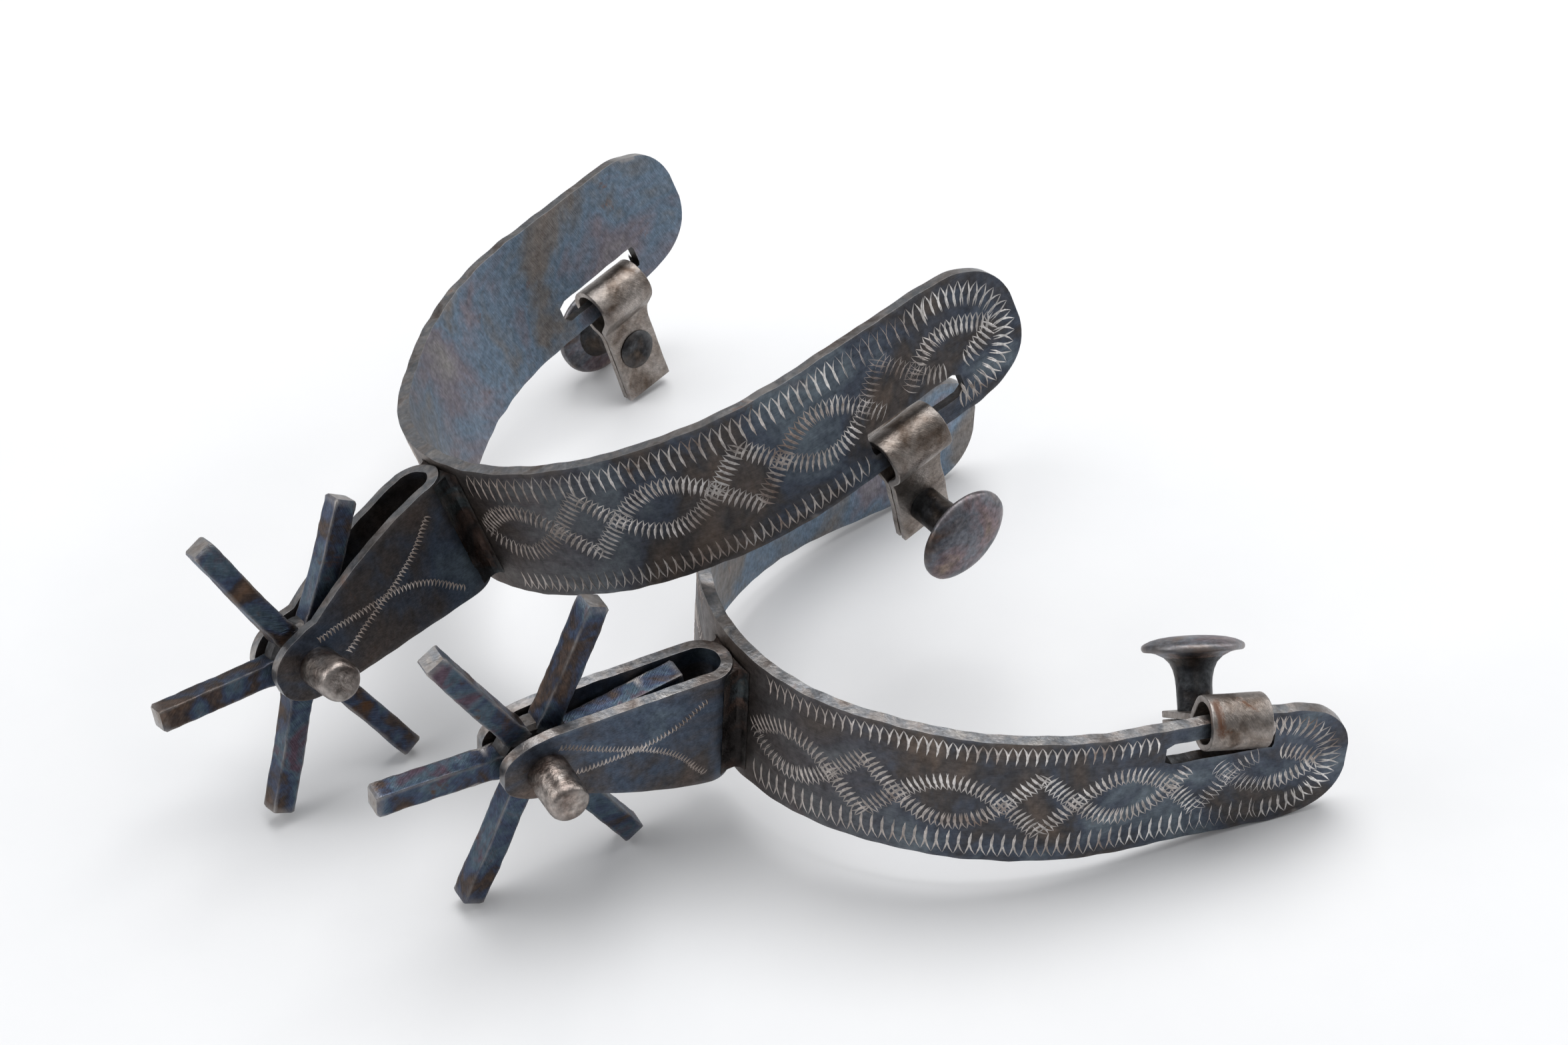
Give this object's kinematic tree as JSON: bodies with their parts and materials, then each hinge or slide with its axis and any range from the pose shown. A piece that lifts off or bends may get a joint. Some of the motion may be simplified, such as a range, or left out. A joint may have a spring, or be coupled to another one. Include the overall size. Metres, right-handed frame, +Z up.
{
  "type": "pair of spurs",
  "caption": "Pair of forged riding spurs with U-shaped heel bands, engraved arms, hairpin shanks, turning spoked rowels and swinging strap buttons, lying crossed.",
  "frame": {"origin": "middle of the bottom of the box round the resting pair, on the floor", "axes": "+Z up from the floor, +X along the longest side of the resting pair, from the rowels towards the front spur toe opening, +Y away from the viewer"},
  "size_m": [0.1908, 0.1542, 0.0732],
  "materials": {
    "engraved_blued_steel": "dark blued steel, hammered, with bright wriggle-cut engraving and rust",
    "blued_steel": "dark blued steel with brown patches",
    "rowel_steel": "file-finished bar steel, blue and brown",
    "pin_steel": "worn bare steel",
    "strap_steel": "bare bent strap steel, worn",
    "button_steel": "dark domed steel, blue to brown",
    "braze_metal": "rough brazing metal, copper and grey"
  },
  "bodies": {
    "front_spur": {"front_heel_band": "engraved_blued_steel", "front_shank": "blued_steel", "front_near_braze": "braze_metal", "front_far_braze": "braze_metal", "front_rowel_pin": "pin_steel"},
    "front_rowel": {"front_rowel": "rowel_steel"},
    "front_near_hanger": {"front_near_hanger": "strap_steel", "front_near_button": "button_steel"},
    "front_far_hanger": {"front_far_hanger": "strap_steel", "front_far_button": "button_steel"},
    "rear_spur": {"rear_heel_band": "engraved_blued_steel", "rear_shank": "blued_steel", "rear_near_braze": "braze_metal", "rear_far_braze": "braze_metal", "rear_rowel_pin": "pin_steel"},
    "rear_rowel": {"rear_rowel": "rowel_steel"},
    "rear_near_hanger": {"rear_near_hanger": "strap_steel", "rear_near_button": "button_steel"},
    "rear_far_hanger": {"rear_far_hanger": "strap_steel", "rear_far_button": "button_steel"}
  },
  "joints": [
    {"name": "rear_spur_lift", "type": "slide", "parent": "front_spur", "child": "rear_spur", "axis": [0, 0, 1], "range_m": [0, 0.08]},
    {"name": "front_rowel_turn", "type": "hinge", "parent": "front_spur", "child": "front_rowel", "pos_m": [-0.03375, -0.06197, 0.02716], "axis": [0.4779, -0.8784, 0.0028], "continuous": true},
    {"name": "front_near_hanger_swing", "type": "hinge", "parent": "front_spur", "child": "front_near_hanger", "pos_m": [0.07622, -0.0575, 0.02318], "axis": [0.9441, 0.3133, -0.1024], "range_deg": [-18, 236]},
    {"name": "front_far_hanger_swing", "type": "hinge", "parent": "front_spur", "child": "front_far_hanger", "pos_m": [0.02052, 0.02069, 0.0245], "axis": [-0.7911, -0.6028, 0.1037], "range_deg": [-255, 4]},
    {"name": "rear_rowel_turn", "type": "hinge", "parent": "rear_spur", "child": "rear_rowel", "pos_m": [-0.07261, -0.03609, 0.02459], "axis": [0.5659, -0.7753, 0.2806], "continuous": true},
    {"name": "rear_near_hanger_swing", "type": "hinge", "parent": "rear_spur", "child": "rear_near_hanger", "pos_m": [0.02672, -0.01731, 0.04924], "axis": [-0.8147, -0.5462, -0.1947], "range_deg": [-122, 134]},
    {"name": "rear_far_hanger_swing", "type": "hinge", "parent": "rear_spur", "child": "rear_far_hanger", "pos_m": [-0.02586, 0.06035, 0.02257], "axis": [0.7101, 0.6895, 0.1428], "range_deg": [-158, 94]}
  ]
}
